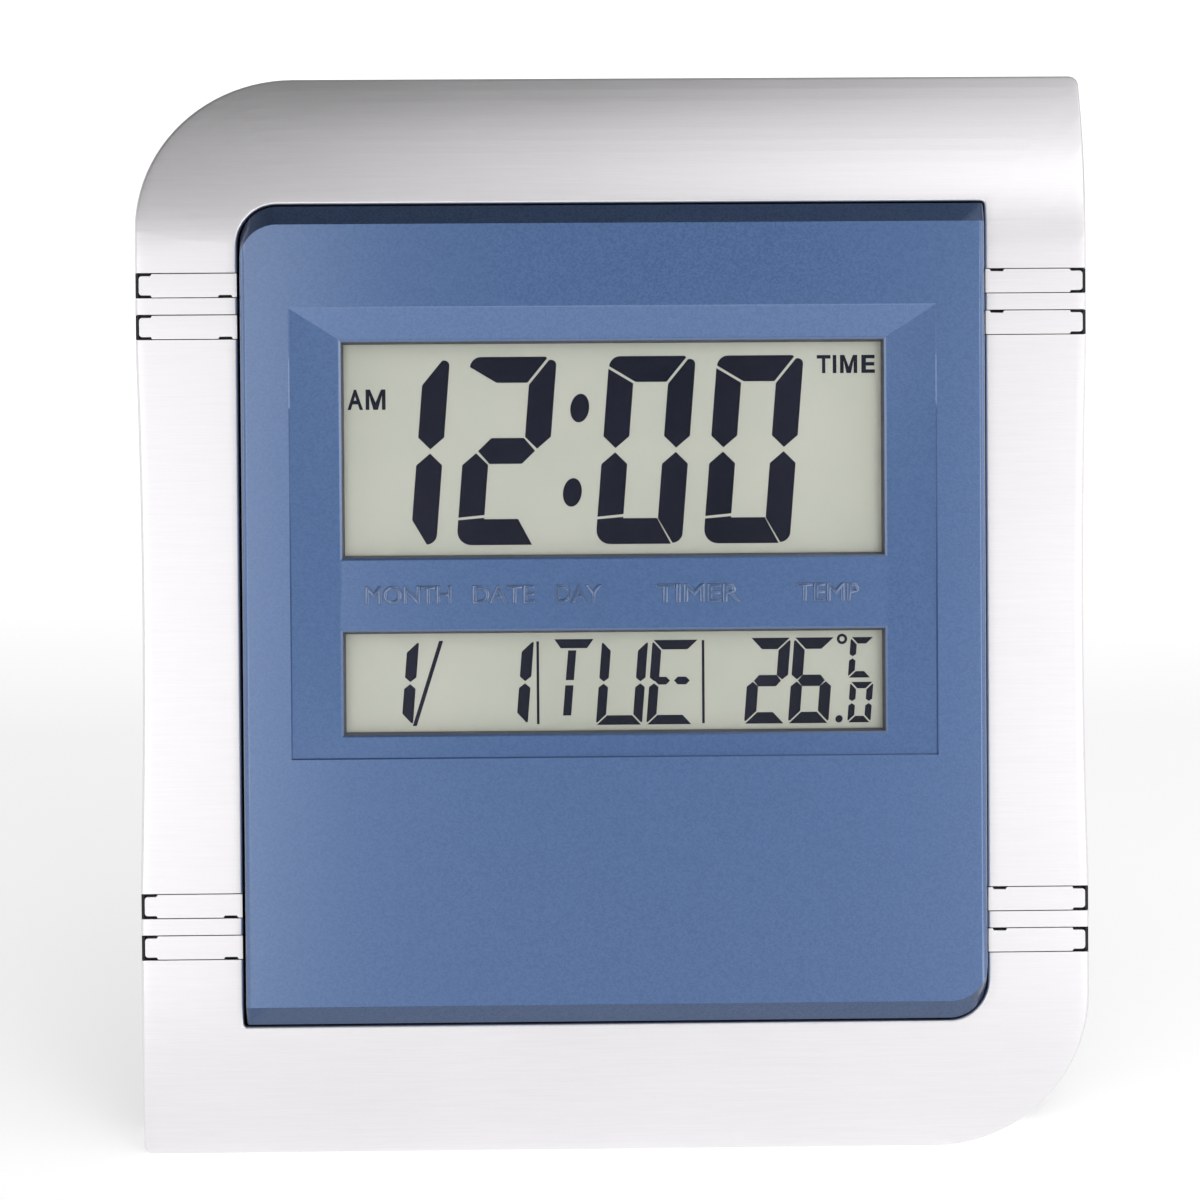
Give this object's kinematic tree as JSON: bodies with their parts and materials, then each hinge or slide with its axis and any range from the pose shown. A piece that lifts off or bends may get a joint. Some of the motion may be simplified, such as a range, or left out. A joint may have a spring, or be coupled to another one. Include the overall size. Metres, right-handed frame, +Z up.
{
  "type": "digital desk clock",
  "caption": "Digital desk clock: liquid crystal displays in a raised blue panel, a silver frame with round opposite corners, set buttons and a folding stand leg behind.",
  "frame": {"origin": "on the table, under the middle of the standing clock", "axes": "+X to the right seen from the front, +Y from the face to the back, +Z up"},
  "size_m": [0.22, 0.0938, 0.2374],
  "materials": {
    "silver": "fine satin",
    "dark_plastic": "matte",
    "blue_paint": "metallic paint",
    "clear_window": "clear",
    "liquid_crystal": "satin",
    "white_plastic": "matte",
    "board": "satin",
    "resin": "gloss",
    "tinned_metal": "bright tinned",
    "steel": "satin",
    "button_plastic": "matte",
    "cover_plastic": "fine texture",
    "battery_wrap": "plain wrap",
    "rubber": "matte",
    "red_wire": "satin",
    "black_wire": "satin"
  },
  "bodies": {
    "clock_body": {"silver_frame": "silver", "trim_bar_left_upper_1": "silver", "trim_bar_left_upper_2": "silver", "trim_bar_left_lower_1": "silver", "trim_bar_left_lower_2": "silver", "trim_bar_right_upper_1": "silver", "trim_bar_right_upper_2": "silver", "trim_bar_right_lower_1": "silver", "trim_bar_right_lower_2": "silver", "front_chassis": "dark_plastic", "blue_panel": "blue_paint", "time_window_lens": "clear_window", "date_window_lens": "clear_window", "time_lcd": "liquid_crystal", "date_lcd": "liquid_crystal", "time_zebra_strip": "rubber", "date_zebra_strip": "rubber", "lcd_holder": "white_plastic", "circuit_board": "board", "controller_chip": "resin", "quartz_crystal": "tinned_metal", "buzzer": "dark_plastic", "temperature_sensor": "resin", "board_screw_1": "steel", "board_screw_2": "steel", "board_screw_3": "steel", "board_screw_4": "steel", "key_switch_1": "tinned_metal", "key_switch_2": "tinned_metal", "key_switch_3": "tinned_metal", "key_switch_4": "tinned_metal", "key_switch_5": "tinned_metal", "rear_cover": "cover_plastic", "case_screw_1": "steel", "case_screw_2": "steel", "case_screw_3": "steel", "case_screw_4": "steel", "case_screw_5": "steel", "case_screw_6": "steel", "battery_cell_1": "battery_wrap", "battery_cell_2": "battery_wrap", "battery_plus_plate": "tinned_metal", "battery_minus_plate": "tinned_metal", "battery_bridge_plate": "tinned_metal", "battery_bridge_spring": "steel", "battery_minus_spring": "steel", "battery_lead_red": "red_wire", "battery_lead_black": "black_wire", "stand_ear_left": "cover_plastic", "stand_ear_right": "cover_plastic", "stand_hinge_pin": "steel"},
    "stand": {"stand_leg": "cover_plastic", "stand_foot_pad": "rubber"},
    "door": {"battery_door": "cover_plastic"},
    "button_1": {"set_button_1": "button_plastic"},
    "button_2": {"set_button_2": "button_plastic"},
    "button_3": {"set_button_3": "button_plastic"},
    "button_4": {"set_button_4": "button_plastic"},
    "button_5": {"set_button_5": "button_plastic"}
  },
  "joints": [
    {"name": "stand_hinge", "type": "hinge", "parent": "clock_body", "child": "stand", "pos_m": [0, 0.01791, 0.11665], "axis": [1, 0, 0], "range_deg": [-28.5, 0]},
    {"name": "door_lift", "type": "slide", "parent": "clock_body", "child": "door", "axis": [0, 0.9613, -0.2756], "range_m": [0, 0.03]},
    {"name": "button_1_press", "type": "slide", "parent": "clock_body", "child": "button_1", "axis": [0, -0.9613, 0.2756], "range_m": [0, 0.001], "stiffness_N_per_m": 300, "springref_m": -0.001},
    {"name": "button_2_press", "type": "slide", "parent": "clock_body", "child": "button_2", "axis": [0, -0.9613, 0.2756], "range_m": [0, 0.001], "stiffness_N_per_m": 300, "springref_m": -0.001},
    {"name": "button_3_press", "type": "slide", "parent": "clock_body", "child": "button_3", "axis": [0, -0.9613, 0.2756], "range_m": [0, 0.001], "stiffness_N_per_m": 300, "springref_m": -0.001},
    {"name": "button_4_press", "type": "slide", "parent": "clock_body", "child": "button_4", "axis": [0, -0.9613, 0.2756], "range_m": [0, 0.001], "stiffness_N_per_m": 300, "springref_m": -0.001},
    {"name": "button_5_press", "type": "slide", "parent": "clock_body", "child": "button_5", "axis": [0, -0.9613, 0.2756], "range_m": [0, 0.001], "stiffness_N_per_m": 300, "springref_m": -0.001}
  ]
}
